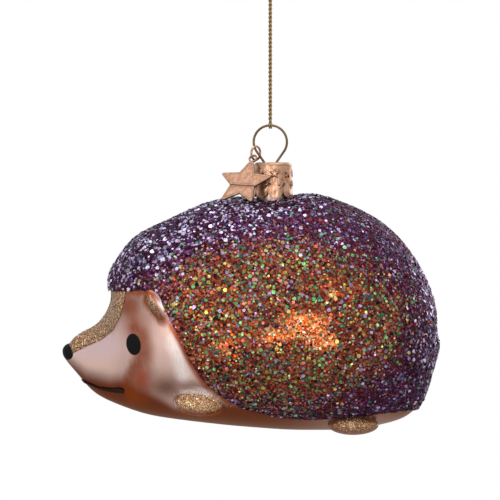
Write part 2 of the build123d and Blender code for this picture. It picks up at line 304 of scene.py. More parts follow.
def glue_coat(look):
    """Dark glue full of fine glitter, with a painted iridescent sheen, copper on the flanks and burgundy
    towards the back, and painted highlights on the flanks.
    """
    p = Paint("glue_coat", specular_tint=(0.5, 0.3, 0.45, 1))
    red, green, blue = p.channels(p.cells(GLUE_GRAIN), ("Red", "Green", "Blue"))
    side = p.ramp((
        (0.0, tint(26, 8, 9)), (0.28, tint(62, 22, 18)), (0.55, look.side_sheen_glue), (0.80, tint(156, 74, 42)),
        (0.94, tint(196, 116, 78)), (1.0, tint(104, 112, 64)),
    ), (red * 0.72 + p.noisy(0.22) * 0.5 - 0.12).clamped())
    highlight_hues = p.ramp((
        (0.0, tint(110, 30, 8)), (0.25, tint(206, 76, 16)), (0.55, tint(250, 124, 44)),
        (0.8, tint(255, 178, 110)), (1.0, tint(255, 240, 216)),
    ), green)
    rim = p.ramp((
        (0.0, tint(24, 6, 20)), (0.45, look.rim_sheen_glue), (0.72, tint(86, 24, 46)), (0.88, tint(82, 42, 98)),
        (0.96, tint(112, 92, 150)), (1.0, tint(170, 156, 204)),
    ), red)
    streaks = p.noisy(0.3, detail=4.0, stretch=(0.6, 1.0, 1.5))
    # Painted highlight: the lamps' reflections in the flank's copper, broken up by streaks
    highlight_share = (p.attribute("glow") * 1.5 + streaks * 1.6 - 1.35) * 2.2 + 0.4 * (blue - 0.5)
    base = p.mixed(p.mixed(rim, side, p.attribute("flank")), highlight_hues, highlight_share.clamped())
    p.feed("Base Color", base).feed("Roughness", 0.24 + 0.3 * green)
    p.feed("Metallic", 0.4 + 0.5 * green)
    return p.facets(GLUE_GRAIN, 0.8).material


def coat_flake(name):
    """Metallised film flakes, each of its own colour."""
    p = Paint(name, metallic=0.8, specular_ior_level=0.4, specular_tint=(0.8, 0.72, 0.82, 1))
    speck = p.noisy(3.0, detail=2.0)
    p.feed("Base Color", p.attribute("film", "Color")).feed("Roughness", 0.2 + 0.24 * speck)
    return p.material


def gold_glitter(name, look, bright):
    """Fine gold glitter in clear glue, thinner where the patches fade out."""
    p = Paint(name)
    red, green = p.channels(p.cells(GOLD_GRAIN), ("Red", "Green"))
    stops = (
        (0.0, tint(70, 40, 24)), (0.3, tint(118, 80, 50)), (0.55, look.gold), (0.78, tint(180, 138, 102)),
        (0.93, tint(206, 174, 144)), (1.0, tint(236, 214, 186)),
    )
    grains = p.ramp([(place, [min(1, c) for c in scaled(hue, bright)]) for place, hue in stops], red)
    base = p.mixed(tint(132, 86, 64), grains, p.attribute("cover"))
    p.feed("Base Color", base).feed("Roughness", 0.26 + 0.3 * green).feed("Metallic", 0.45 + 0.4 * green)
    return p.facets(GOLD_GRAIN, 0.7).material


def enamel(name, hue, gloss, grain, shine):
    """Raised enamel with the fine bumps of a dried drop."""
    p = Paint(name, specular_ior_level=shine)
    bumps = p.noisy(grain)
    p.feed("Base Color", p.mixed(hue, [c * 2.2 + 0.003 for c in hue], bumps))
    p.feed("Roughness", gloss + 0.2 * bumps)
    return p.bumped(bumps, 0.8, 0.16).material


def plated(name, hue, worn, rough, grain, crease=False, dents=0.25):
    """Plated metal, darker where it is worn or tarnished, and with painted shade in its creases."""
    p = Paint(name, metallic=1.0)
    stain = p.noisy(grain, detail=5.0)
    fine = p.noisy(4 * grain, detail=2.0)
    base = p.mixed(worn, hue, ((stain - 0.4) * 4.0).clamped())
    # Painted shade in the creases
    if crease:
        base = p.mixed(base, scaled(hue, 0.16), p.attribute("crease"))
    p.feed("Base Color", base).feed("Roughness", rough + 0.16 * fine)
    return p.bumped(fine, dents, 0.03).material


def metallic_thread(look):
    """Metallised film wrapped round a dark core, in fine bands along each strand."""
    p = Paint("metallic_thread", metallic=0.7, specular_ior_level=0.4)
    bands = p.attribute("band")
    fibre = p.noisy(6.0)
    film = p.ramp((
        (0.0, tint(58, 46, 28)), (0.35, tint(120, 98, 62)), (0.7, look.thread), (1.0, tint(224, 204, 158)),
    ), (bands * 0.7 + fibre * 0.4).clamped())
    p.feed("Base Color", film).feed("Roughness", 0.3 + 0.25 * fibre)
    return p.bumped(bands, 0.6, 0.06).material


# Meshes


def new_piece(name, bm, material, node, stands_in=True):
    """Turns a bmesh into a piece with the body of a solid, which it stands for or only lies on; the solid's
    slot is looked up but not used.
    """
    record = frame["record"]
    body = next(body for body, nodes in record["behaviour"]["bodies"].items() if node in nodes)
    slot = next(part["material_slot"] for part in record["subparts"] if part["node"] == node)
    mesh = bpy.data.meshes.new(name)
    bm.to_mesh(mesh)
    bm.free()
    if "custom_normal" in mesh.attributes:
        mesh.attributes.remove(mesh.attributes["custom_normal"])
    mesh.materials.clear()
    mesh.materials.append(material)
    piece = bpy.data.objects.new(name, mesh)
    bpy.context.scene.collection.objects.link(piece)
    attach(piece, body)
    if stands_in:
        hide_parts(node)
    return piece


def smooth_but(bm, sharp):
    """Smooths the faces, except over edges that turn by more than an angle."""
    for face in bm.faces:
        face.smooth = True
    for edge in bm.edges:
        edge.smooth = edge.calc_face_angle(0.0) < math.radians(sharp)


def merged(node, sharp):
    """A copy of a solid's mesh with its doubles merged and its round faces smooth."""
    bm = bmesh.new()
    bm.from_mesh(frame["nodes"][node].data)
    bmesh.ops.remove_doubles(bm, verts=bm.verts, dist=2e-6)
    for face in bm.faces:
        face.material_index = 0
    smooth_but(bm, sharp)
    return bm


def dressed(name, node, material, sharp=40.0):
    """A smooth copy that stands for its solid."""
    return new_piece(name, merged(node, sharp), material, node)


def read(items, key, kind=np.float32):
    """Three numbers from each vertex or triangle."""
    values = np.zeros(len(items) * 3, kind)
    items.foreach_get(key, values)
    return values.reshape(-1, 3)


def points_of(mesh):
    return read(mesh.vertices, "co").astype(float)


def side_of(points):
    """Side-view millimetres of points in metres."""
    return points[:, [0, 2]] / MM


def tree_of(mesh):
    return BVHTree.FromPolygons([v.co for v in mesh.vertices], [f.vertices for f in mesh.polygons])


def put(mesh, name, values, kind="FLOAT", key="value"):
    mesh.attributes.new(name, kind, "POINT").data.foreach_set(key, values.astype(np.float32).ravel())


def unit(vectors):
    return vectors / np.linalg.norm(vectors, axis=1)[:, None]


def smooth_step(low, high, value):
    t = np.clip((value - low) / (high - low), 0, 1)
    return t * t * (3 - 2 * t)


def from_runs(points, starts, ends):
    """Distance of each point from the nearest of some straight runs."""
    best = np.full(len(points), np.inf)
    for start, end in zip(starts, ends):
        run = end - start
        share = np.clip(((points - start) @ run) / (run @ run), 0, 1)
        best = np.minimum(best, np.linalg.norm(points - start - share[:, None] * run, axis=1))
    return best


def from_line(side, pixels):
    line = photo(pixels)
    return from_runs(side, line[:-1], line[1:])


def near_line(side, pixels, full, fade):
    return 1 - smooth_step(full, fade, from_line(side, pixels))


def near_spot(side, pixel, radii):
    away = (side - photo([pixel])[0]) / np.array(radii)
    return np.exp(-(away**2).sum(axis=1))


def painted_marks(side, lines, spots):
    """Strongest of some painted lines and spots at each side-view point: airbrush paint, painted shade and
    painted highlights.
    """
    return np.maximum.reduce([weight * near_line(side, *line) for weight, *line in lines]
                             + [weight * near_spot(side, *spot) for weight, *spot in spots])


def level_at(side, pixels):
    line = photo(pixels)
    return np.interp(side[:, 0], line[:, 0], line[:, 1])


# Lines in the photograph's side view, in pixels
COAT_EDGE_PX = ((172, 321), (182.5, 341), (191.8, 360), (200.7, 374.3), (209.6, 385), (230.2, 399.7))
BROW_PX = ((100, 291), (140, 290.5), (151, 289.5), (158, 296))
EAR_LINE_PX = ((149, 290), (147, 299), (151, 306), (158, 314), (166, 319), (173, 323))
STRIPE_EDGE_PX = ((128, 292), (124.2, 302), (120, 316), (113, 328.8))
OVER_EYE_PX = ((134.5, 334), (135, 324), (134.5, 312), (131, 303))
BESIDE_EYE_PX = ((141.5, 332), (144, 345), (144, 357))
CHEEK_BAND_PX = ((138, 361), (135.5, 368), (130.5, 376), (130, 386), (135, 398))
BLUSH_EDGE_PX = ((145.5, 357), (146.5, 368), (143.5, 382), (142, 396))
# Painted highlights on the cheek and the ear
CHEEK_LIGHT_PX = ((174, 340), (178.5, 351), (181.5, 362), (184, 372))
EAR_LIGHT_PX = ((160, 294), (164, 300.5), (167.5, 307))
# Painted shade at the foot of the cheek
CHEEK_FOOT_PX = ((178, 381), (190, 383), (201, 385))
# Painted highlight on the rim of the front paw
PAW_LIGHT_PX = ((184, 392.5), (191, 390.3), (200, 389.6), (209, 391))
# Painted shadow under the front paw
PAW_SHADOW_PX = ((180, 408), (190, 412), (204, 413), (219, 410))
CHIN_PX = ((55, 362), (72, 374), (86, 384), (110, 389), (128, 386), (146, 391), (160, 398), (176, 408),
           (200, 413), (222, 402), (250, 402), (300, 400), (460, 380))
# Painted shade of the belly's underside darkens below this line
KEEL_SHADE_PX = ((55, 372), (80, 392), (120, 404), (160, 417), (240, 430), (330, 434), (460, 420))

# Airbrush paint and painted light: shade holds painted shade, light holds painted highlights, and the ochre
# line under the front paw is a painted shadow. Lines: weight, line, and distances (mm) where it starts to
# fade and is gone.
# Spots: weight, pixel and radii (mm).
AIRBRUSH_AND_PAINTED_LIGHT = {
    "ochre": (
        ((1.0, COAT_EDGE_PX, 0.3, 1.5), (0.9, BROW_PX, 0.5, 1.6), (1.0, EAR_LINE_PX, 0.35, 1.3),
         (0.7, OVER_EYE_PX, 0.3, 3.2), (0.85, BESIDE_EYE_PX, 0.9, 4.1), (0.92, CHEEK_BAND_PX, 0.8, 2.6),
         (0.6, BLUSH_EDGE_PX, 0.5, 3.6), (0.4, STRIPE_EDGE_PX, 0.1, 1.3), (0.8, PAW_SHADOW_PX, 0.2, 1.5)),
        ((0.97, (136, 326), (2.6, 3.3)), (0.72, (138.5, 380), (3.4, 4.6))),
    ),
    "shade": (((0.7, CHEEK_FOOT_PX, 0.5, 2.6),), ((0.95, (167, 385), (5.4, 3.6)),)),
    "light": (
        ((0.62, CHEEK_LIGHT_PX, 0.2, 3.0), (1.0, EAR_LIGHT_PX, 0.3, 1.3), (0.75, PAW_LIGHT_PX, 0.2, 1.4)),
        ((0.6, (219, 402), (1.0, 1.0)),),
    ),
    "blush": ((), ((0.9, (141.5, 375), (1.8, 2.4)),)),
}

# Where other paints begin and are full, in side-view millimetres
SNOUT_X = (-42.0, -33.0)
SNOUT_Z = (-103.5, -97.5)
BROW_X = (-42.0, -36.0)
BROW_Z = (-97.0, -89.0)
NECK_Z = (-61.9, -61.5)
BARE_Z = (-59.2, -58.6)
SNOUT_CHIN_X = (-38.0, -33.0)
# Depth under the chin line where the umber begins and is full, and how much the snout adds
CHIN_DEPTH = (-2.2, 1.0)
SNOUT_CHIN_DEPTH = (-3.2, -1.7)
# Depth under the underside line where its painted shade begins and is full
KEEL_SHADE_DEPTH = (-1.0, 3.0)
# Spots: tan on the brow, umber under the cheek, and less umber on the rear paw
BROW_SPOT = ((128, 303), (5.8, 4.8))
CHEEK_UMBER_SPOT = ((138, 392), (3.4, 3.6))
REAR_PAW_SPOT = ((360, 421), (12.0, 4.0))


class HEDGEHOG_OT_glass(bpy.types.Operator):
    """Blown glass with its lacquer of airbrush paint, painted shade and painted highlights"""
    bl_idname = "hedgehog.glass"
    bl_label = "Glass body"

    def execute(self, context):
        piece = dressed("blown_glass", "glass_body", pearl_lacquer(context.scene.hedgehog_colours), 50.0)
        side = side_of(points_of(piece.data))
        x, z = side.T
        snout = 1 - smooth_step(*SNOUT_CHIN_X, x)
        begin, full = (depth + more * snout for depth, more in zip(CHIN_DEPTH, SNOUT_CHIN_DEPTH))
        umber = np.maximum(smooth_step(begin, full, level_at(side, CHIN_PX) - z),
                           0.9 * near_spot(side, *CHEEK_UMBER_SPOT))
        bare = smooth_step(*BARE_Z, z)
        neck = smooth_step(*NECK_Z, z) * (1 - bare)
        brow = np.maximum(0.6 * smooth_step(*BROW_Z, z) * smooth_step(*BROW_X, x),
                          near_spot(side, *BROW_SPOT))
        masks = {name: painted_marks(side, *marks) for name, marks in AIRBRUSH_AND_PAINTED_LIGHT.items()}
        masks["ochre"] = masks["ochre"] * (1 - neck) * (1 - bare)
        masks |= {
            "umber": umber * (1 - 0.4 * near_spot(side, *REAR_PAW_SPOT)),
            "keel": 0.85 * smooth_step(*KEEL_SHADE_DEPTH, level_at(side, KEEL_SHADE_PX) - z),
            "snout": (1 - smooth_step(*SNOUT_X, x)) * smooth_step(*SNOUT_Z, z),
            "brow": brow * (1 - bare),
            "dark": neck,
            "bare": bare,
        }
        for name, values in masks.items():
            put(piece.data, name, values)
        return {"FINISHED"}


def palette(*rows):
    """Colours of film flakes, each with its share."""
    return [(share, tint(*hue)) for share, *hue in rows]


# Palettes by place: their colours on the flank, crown and rump paint the flakes' iridescent sheen
FLANK_FILM = palette(
    (0.12, 86, 142, 88), (0.06, 146, 200, 138), (0.09, 48, 98, 90), (0.12, 158, 158, 84),
    (0.03, 224, 198, 90), (0.12, 124, 104, 82), (0.08, 160, 150, 190), (0.12, 196, 128, 104),
    (0.12, 170, 76, 44), (0.14, 44, 18, 26),
)
CROWN_FILM = palette(
    (0.35, 206, 200, 230), (0.06, 150, 138, 188), (0.10, 76, 40, 88), (0.38, 56, 14, 30), (0.05, 50, 84, 120),
    (0.03, 80, 144, 112), (0.04, 220, 198, 220),
)
RUMP_FILM = palette(
    (0.36, 60, 20, 38), (0.11, 142, 128, 172), (0.10, 86, 52, 104), (0.06, 52, 74, 104), (0.07, 72, 112, 88),
    (0.22, 108, 42, 36), (0.08, 184, 172, 206),
)
# Bright flakes of the painted highlights
HIGHLIGHT_FILM = palette(
    (0.30, 244, 108, 34), (0.18, 255, 168, 104), (0.12, 240, 214, 120), (0.20, 150, 48, 18),
    (0.07, 255, 236, 214), (0.13, 232, 112, 84),
)
GOLD_FILM = palette(
    (0.34, 190, 146, 92), (0.24, 212, 178, 130), (0.14, 136, 98, 56), (0.12, 240, 222, 190),
    (0.10, 196, 176, 162), (0.06, 92, 62, 38),
)

# Painted highlights of the flank, where the lamps' reflections fall on its copper: weight, pixel and radii
# (mm)
HIGHLIGHT_SPOTS = (
    (1.0, (302, 320), (5.2, 3.4)), (0.75, (322, 338), (4.0, 3.0)), (0.7, (272, 334), (4.4, 2.0)),
    (0.6, (226, 345), (4.6, 3.4)), (0.4, (200, 318), (5.5, 2.0)), (0.5, (332, 290), (3.0, 4.0)),
)
# The copper flank of the painted sheen, an egg in side-view millimetres: its middle, half length, height and
# depth
FLANK_MIDDLE = (2.0, -89.5)
FLANK_LENGTH = 38.0
FLANK_HEIGHT = 21.5
FLANK_DEPTH = 28.0


def coat_shares(p, normals):
    """How far a point belongs to the flank and the crown, which set the painted sheen, and to the spots of
    painted highlight.
    """
    side = side_of(p)
    x, z = side.T
    sideways = np.abs(normals[:, 1])
    rise = z - FLANK_MIDDLE[1]
    tall = np.where(rise > 0, FLANK_HEIGHT, FLANK_DEPTH)
    away = np.hypot((x - FLANK_MIDDLE[0]) / FLANK_LENGTH, rise / tall)
    flank = (1 - smooth_step(0.6, 1.06, away)) * smooth_step(0.2, 0.7, sideways)
    crown = np.maximum(smooth_step(-70.5, -63.5, z - 0.45 * x), 0.6 * smooth_step(32.0, 40.0, x))
    glow = sum(weight * near_spot(side, *spot) for weight, *spot in HIGHLIGHT_SPOTS)
    return flank, crown, np.clip(glow, 0, 1) * (sideways > 0.5)


# Middle line of the body, in metres: its ends along X and its level
CORE_X = (-0.030, 0.024)
CORE_Z = -0.094


def outer_triangles(mesh):
    """Corners, normals and areas of the faces that point away from the body's middle line."""
    mesh.calc_loop_triangles()
    count = len(mesh.loop_triangles)
    tri = points_of(mesh)[read(mesh.loop_triangles, "vertices", np.int32)]
    cross = np.cross(tri[:, 1] - tri[:, 0], tri[:, 2] - tri[:, 0])
    area = np.linalg.norm(cross, axis=1) / 2
    normals = cross / np.maximum(2 * area[:, None], 1e-15)
    centre = tri.mean(axis=1)
    core = np.c_[np.clip(centre[:, 0], *CORE_X), np.zeros(count), np.full(count, CORE_Z)]
    keep = (normals * unit(centre - core)).sum(axis=1) > 0.3
    return tri[keep], normals[keep], area[keep]


def scattered(mesh, count, spacing, seed, share=None):
    """Seeded random places on a mesh's outer side, at least a spacing apart, with their normals."""
    tri, normals, area = outer_triangles(mesh)
    if share is not None:
        area = area * share(tri.mean(axis=1))
    random = np.random.default_rng(seed)
    tries = int(count * 1.7)
    pick = random.choice(len(tri), tries, p=area / area.sum())
    u, v = random.random(tries), random.random(tries)
    fold = u + v > 1
    u[fold], v[fold] = 1 - u[fold], 1 - v[fold]
    first, second, third = (tri[pick, k] for k in range(3))
    spots = first + u[:, None] * (second - first) + v[:, None] * (third - first)
    tree = kdtree.KDTree(tries)
    for index, spot in enumerate(spots):
        tree.insert(spot, index)
    tree.balance()
    kept, dropped = [], np.zeros(tries, bool)
    for index, spot in enumerate(spots):
        if dropped[index]:
            continue
        kept.append(index)
        for _, other, _ in tree.find_range(spot, spacing):
            if other > index:
                dropped[other] = True
        if len(kept) == count:
            break
    return spots[kept], normals[pick[kept]], random


def flakes(name, node, material, spots, normals, widths, films, tilt, lift, sheet, random):
    """Six-cornered flakes: one is drawn and thickened, doubled until there are enough, and all are laid."""
    bm = bmesh.new()
    bmesh.ops.create_circle(bm, cap_ends=True, segments=6, radius=0.5)
    top = bmesh.ops.extrude_face_region(bm, geom=bm.faces[:])
    raised = [v for v in top["geom"] if isinstance(v, bmesh.types.BMVert)]
    bmesh.ops.translate(bm, verts=raised, vec=(0, 0, 1))
    bmesh.ops.recalc_face_normals(bm, faces=bm.faces)
    corners, faces = len(bm.verts), len(bm.faces)
    total = len(spots)
    made = 1
    while made < total:
        more = min(made, total - made)
        bm.faces.ensure_lookup_table()
        bmesh.ops.duplicate(bm, geom=bm.faces[: more * faces])
        made += more
    piece = new_piece(name, bm, material, node, stands_in=False)
    # A copy's corners come in an order of their own, so the sides of a copied flake can cross
    shape = points_of(piece.data)[:corners]
    lean = unit(normals + random.normal(0, tilt, (total, 3)))
    across = unit(np.cross(lean, random.normal(0, 1, (total, 3))))
    along = np.cross(lean, across)
    seat = spots + normals * lift
    laid = (
        seat[:, None]
        + shape[None, :, :1] * (widths[:, None] * across)[:, None]
        + shape[None, :, 1:2] * (widths[:, None] * along)[:, None]
        + (shape[None, :, 2:] - 0.5) * (sheet * lean)[:, None]
    )
    piece.data.vertices.foreach_set("co", laid.astype(np.float32).ravel())
    put(piece.data, "film", np.repeat(np.c_[films, np.ones(total)], corners, axis=0), "FLOAT_COLOR", "color")
    piece.data.update()


def chosen(films, count, random):
    """Colours drawn from a palette by their shares, most of them in shade and a few bright."""
    shares = np.array([share for share, _ in films])
    hues = np.array([hue for _, hue in films])[random.choice(len(films), count, p=shares / shares.sum())]
    return np.clip(hues * (0.42 + 0.85 * random.random((count, 1)) ** 1.5), 0, 1)


# Layers of the coat's flakes: kind, spacing (m), lean, lift (m) and seed
FLAKE_LAYERS = (("small", 0.42 * MM, 0.26, 0.04 * MM, 11), ("large", 0.92 * MM, 0.16, 0.10 * MM, 23))


class HEDGEHOG_OT_coat(bpy.types.Operator):
    """Glue coat with its small and large flakes"""
    bl_idname = "hedgehog.coat"
    bl_label = "Glitter coat"

    def execute(self, context):
        look, size = context.scene.hedgehog_colours, context.scene.hedgehog_sizes
        coat = dressed("glue_coat", "glitter_mantle", glue_coat(look), 50.0)
        flank, _, glow = coat_shares(points_of(coat.data), read(coat.data.vertices, "normal"))
        put(coat.data, "flank", flank)
        put(coat.data, "glow", glow)
        film = coat_flake("coat_flake")
        for kind, spacing, tilt, lift, seed in FLAKE_LAYERS:
            count, width = getattr(size, f"{kind}_flakes"), getattr(size, f"flake_{kind}")
            spots, ways, random = scattered(frame["nodes"]["glitter_mantle"].data, count, spacing, seed)
            number = len(spots)
            flank, crown, glow = coat_shares(spots, ways)
            films = np.where((crown > random.random(number))[:, None],
                             chosen(CROWN_FILM, number, random), chosen(RUMP_FILM, number, random))
            for share, over in ((flank, FLANK_FILM), (0.8 * glow, HIGHLIGHT_FILM)):
                covered = (share > random.random(number))[:, None]
                films = np.where(covered, chosen(over, number, random), films)
            # Fewer flakes under the painted highlight, so that it shows
            bare = random.random(number) < 0.2 * glow
            bare |= from_line(side_of(spots), COAT_EDGE_PX) < 0.45 * width / MM
            spots, ways, films, crown = (values[~bare] for values in (spots, ways, films, crown))
            widths = width * random.uniform(0.7, 1.2, len(spots)) * (1 + 0.2 * crown)
            for hand, half in (("left", spots[:, 1] < 0), ("right", spots[:, 1] >= 0)):
                flakes(f"{kind}_flakes_{hand}", "glitter_mantle", film, spots[half], ways[half], widths[half],
                       films[half], tilt, lift, size.flake_sheet, random)
        return {"FINISHED"}


# Patches of gold: number of flakes, brightness, and the pixel and radii (mm) over which they fade
PATCHES = {
    "forehead_glitter": (2300, 1.0, None),
    "front_paw_glitter": (620, 1.25, ((199, 399), (6.2, 2.6))),
    "rear_paw_glitter": (240, 1.15, ((357, 420), (4.8, 2.0))),
    "ear_glitter": (110, 0.7, ((151, 303), (1.6, 2.6))),
}
# Share of its height over the glass that a patch keeps
PATCH_THINNED = 0.3
# Spacing and width of the gold's flakes, and the least gap between a patch and loose ones on the glass
GOLD_SPACING = 0.22 * MM
GOLD_WIDTH = 0.24 * MM
LOOSE_GAP = 0.12 * MM


class HEDGEHOG_OT_gold(bpy.types.Operator):
    """Gold glitter on the stripe, the ears and the paws"""
    bl_idname = "hedgehog.gold"
    bl_label = "Gold glitter"

    def execute(self, context):
        look, size = context.scene.hedgehog_colours, context.scene.hedgehog_sizes
        film = coat_flake("gold_flake")
        golds = {bright: gold_glitter(f"gold_glitter_{round(100 * bright)}", look, bright)
                 for bright in sorted({bright for _, bright, _ in PATCHES.values()})}
        shell = frame["nodes"]["glass_body"].data
        glass = tree_of(shell)
        for node in (n for n in frame["nodes"] if "glitter" in n and n != "glitter_mantle"):
            count, bright, fade = next(kind for name, kind in PATCHES.items() if node.startswith(name))
            hand = -1 if node.endswith("left") else 1
            inner = min(abs(corner[1]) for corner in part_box(node)) - 0.3 * MM

            def cover(p):
                """How far a point belongs to the patch and not to its mirror image."""
                if fade is None:
                    return np.ones(len(p))
                return np.clip(1.8 * near_spot(side_of(p), *fade) - 0.25, 0, 1) * (p[:, 1] * hand > inner)

            glue = dressed(f"{node}_glue", node, golds[bright], 180.0)
            for v in glue.data.vertices:
                near, way, _, _ = glass.find_nearest(v.co)
                if (v.co - near).dot(way) > 0:
                    v.co = near.lerp(v.co, PATCH_THINNED)
            glue.data.update()
            put(glue.data, "cover", cover(points_of(glue.data)))
            spots, ways, random = scattered(glue.data, count, GOLD_SPACING, 5, cover)
            if fade is not None:
                more, leans, _ = scattered(shell, count // 2, GOLD_SPACING, 7, cover)
                patch = tree_of(glue.data)
                loose = np.array([patch.find_nearest(Vector(spot))[3] > LOOSE_GAP for spot in more])
                spots, ways = np.r_[spots, more[loose]], np.r_[ways, leans[loose]]
            films = np.clip(chosen(GOLD_FILM, len(spots), random) * bright, 0, 1)
            widths = GOLD_WIDTH * random.uniform(0.7, 1.3, len(spots))
            flakes(f"{node}_flakes", node, film, spots, ways, widths, films, 0.3, 0.02 * MM, size.flake_sheet,
                   random)
        return {"FINISHED"}


# The nose is drawn larger than its solid, and moved by some millimetres
NOSE_GROWTH = (1.55, 1.3, 1.14)
NOSE_SHIFT = (0.75, 0, -0.15)


class HEDGEHOG_OT_enamel(bpy.types.Operator):
    """Nose, eyes and smile line"""
    bl_idname = "hedgehog.enamel"
    bl_label = "Enamel"

    def execute(self, context):
        look = context.scene.hedgehog_colours
        black = enamel("black_enamel", look.enamel, gloss=0.5, grain=2.6, shine=0.09)
        brown = enamel("brown_enamel", look.smile, gloss=0.6, grain=1.8, shine=0.06)
        for node in ("eye_left", "eye_right"):
            dressed(f"{node}_drop", node, black)
        bm = merged("nose_enamel", 180.0)
        low, high = (Vector(corner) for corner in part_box("nose_enamel"))
        seat = Matrix.Translation((low.lerp(high, 0.5)))
        grow = seat @ Matrix.Diagonal((*NOSE_GROWTH, 1)) @ seat.inverted()
        bmesh.ops.transform(bm, matrix=Matrix.Translation(scaled(NOSE_SHIFT, MM)) @ grow, verts=bm.verts)
        new_piece("nose_drop", bm, black, "nose_enamel")
        dressed("mouth_line_drop", "mouth_line", brown)
        return {"FINISHED"}


# Cap, in millimetres: as the solid's sizes
CAP_AXIS = 0.65
CAP_LEVEL = -52.1
RIM_LEVEL = -60.9
TOP_RADIUS = 4.7
RIM_RADIUS = 5.05
CORNER = 0.7
CAP_SHEET = 0.3
SHEET_DRAWN = 0.8  # share of the sheet's thickness, as the relief adds to it
SCALLOPS = 8
SCALLOP_DEPTH = 1.6
SCALLOP_START = 8.0
SHOULDER = CAP_LEVEL - CORNER

# Steps of the cap's outline over its top, round the corner and down the skirt
TOP_STEPS = 14
CORNER_STEPS = 6
SKIRT_STEPS = 44

# Stamped stars: number in a row, and for each row its level and reach (mm) and its turn in spacings
STARS_ROUND = 8
STAR_ROWS = ((-54.9, 1.3, 0.1), (-58.0, 1.15, 0.6))
# How fast dents and wrinkles change along each axis, per millimetre
DENTS = (0.55, 0.55, 0.45)
WRINKLES = (0.9, 0.9, 0.6)
TOP_DENTS = 0.7


def cap_outline():
    """Radius and level (mm) of the cap's outer side, from the middle of its top down to its rim."""
    outline = [(TOP_RADIUS * k / TOP_STEPS, CAP_LEVEL) for k in range(1, TOP_STEPS - 2)]
    for k in range(CORNER_STEPS + 1):
        turn = math.radians(90 - 90 / CORNER_STEPS * k)
        outline.append((TOP_RADIUS - CORNER + CORNER * math.cos(turn), SHOULDER + CORNER * math.sin(turn)))
    for k in range(1, SKIRT_STEPS + 1):
        share = k / SKIRT_STEPS
        outline.append((TOP_RADIUS + (RIM_RADIUS - TOP_RADIUS) * share,
                        SHOULDER - (SHOULDER - RIM_LEVEL) * share))
    return outline


def star_relief(u, v, reach):
    """Height share, and share of the painted shade in the creases along its outline, of a five-pointed star
    about a point.
    """
    turn, away = math.atan2(u, v), math.hypot(u, v)
    point = abs(((turn / (2 * math.pi) * 5) % 1) * 2 - 1)
    edge = reach * (0.46 + 0.54 * point**1.6)
    height = max(0.0, min(1.0, (edge - away) / (0.24 * reach)))
    return height, math.exp(-(((away - edge) / (0.13 * reach)) ** 2))


def uneven(place, scale, shift=0):
    """Noise at a place (mm), with a scale along each axis."""
    return noise.noise(Vector((place.x * scale[0] + shift, place.y * scale[1], place.z * scale[2])))


class HEDGEHOG_OT_cap(bpy.types.Operator):
    """Stamped cap with its scalloped skirt, embossed stars and dents"""
    bl_idname = "hedgehog.cap"
    bl_label = "Cap"

    def execute(self, context):
        look, size = context.scene.hedgehog_colours, context.scene.hedgehog_sizes
        emboss, crumple = size.emboss / MM, size.crumple / MM
        bm = bmesh.new()
        verts = [bm.verts.new((r, 0, z)) for r, z in cap_outline()]
        edges = [bm.edges.new(pair) for pair in zip(verts[:-1], verts[1:])]
        bmesh.ops.spin(bm, geom=verts + edges, cent=(0, 0, 0), axis=(0, 0, 1), angle=2 * math.pi,
                       steps=168, use_merge=True, use_normal_flip=False)
        rim = [e for e in bm.edges if e.is_boundary and all(v.co.z > CAP_LEVEL - 0.01 for v in e.verts)]
        bmesh.ops.contextual_create(bm, geom=rim)
        bmesh.ops.recalc_face_normals(bm, faces=bm.faces)
        half = math.pi * RIM_RADIUS / SCALLOPS
        arc = (half**2 + SCALLOP_DEPTH**2) / (2 * SCALLOP_DEPTH)
        step = 2 * math.pi / STARS_ROUND
        # Painted shade: darker in the stars' outlines, the wrinkles, the gaps between the scallops and the
        # line under the shoulder
        crease = bm.verts.layers.float.new("crease")
        for v in bm.verts:
            turn, r = math.atan2(v.co.y, v.co.x), math.hypot(v.co.x, v.co.y)
            way = Vector((math.cos(turn), math.sin(turn), 0))
            if v.co.z < SHOULDER - 1e-6:
                drop = (SHOULDER - v.co.z) / (SHOULDER - RIM_LEVEL)
                lobe = ((math.degrees(turn) - SCALLOP_START) / 360 * SCALLOPS + 0.5) % 1 - 0.5
                rise = arc - math.sqrt(arc**2 - (2 * lobe * half) ** 2)
                relief, fold = 0.0, 0.0
                for level, reach, shift in STAR_ROWS:
                    near = round(turn / step - shift) + shift
                    height, edge = star_relief((turn - near * step) * r, v.co.z - level, reach)
                    relief, fold = max(relief, height), max(fold, edge)
                v.co.z += min(rise, SCALLOP_DEPTH) * drop
                dent = uneven(v.co, DENTS) * crumple
                wrinkle = abs(uneven(v.co, WRINKLES, 7))
                flute = 0.5 - 2 * abs(abs(lobe) - 0.25)
                fade = min(1.0, 6 * drop)
                v.co += way * ((relief - 0.35) * emboss + dent - (0.12 - wrinkle) * crumple
                               + 0.12 * flute * drop) * fade
                gully = max(0.0, 1 - wrinkle / 0.04) * 0.5
                gully += 0.9 * max(0.0, 1 - abs(abs(lobe) - 0.5) / 0.08) * drop
                v[crease] = min(1.0, (0.85 * fold * (0.5 + 2 * wrinkle) + gully) * fade)
            elif r > 1.9:
                v.co.z += noise.noise(Vector((v.co.x * TOP_DENTS, v.co.y * TOP_DENTS, 3.0))) * crumple * 0.5
            # Painted shade along the line under the shoulder
            if abs(v.co.z - SHOULDER) < 0.12:
                v[crease] = 0.55
        seat = Matrix.Scale(MM, 4) @ Matrix.Translation((CAP_AXIS, 0, 0))
        bmesh.ops.transform(bm, matrix=seat, verts=bm.verts)
        bmesh.ops.solidify(bm, geom=bm.faces[:], thickness=CAP_SHEET * MM * SHEET_DRAWN)
        smooth_but(bm, 50)
        gilt = plated("rose_gold_cap", scaled(look.rose_gold, 0.88), tint(160, 116, 88), rough=0.29,
                      grain=0.5, crease=True)
        new_piece("stamped_cap", bm, gilt, "cap")
        return {"FINISHED"}


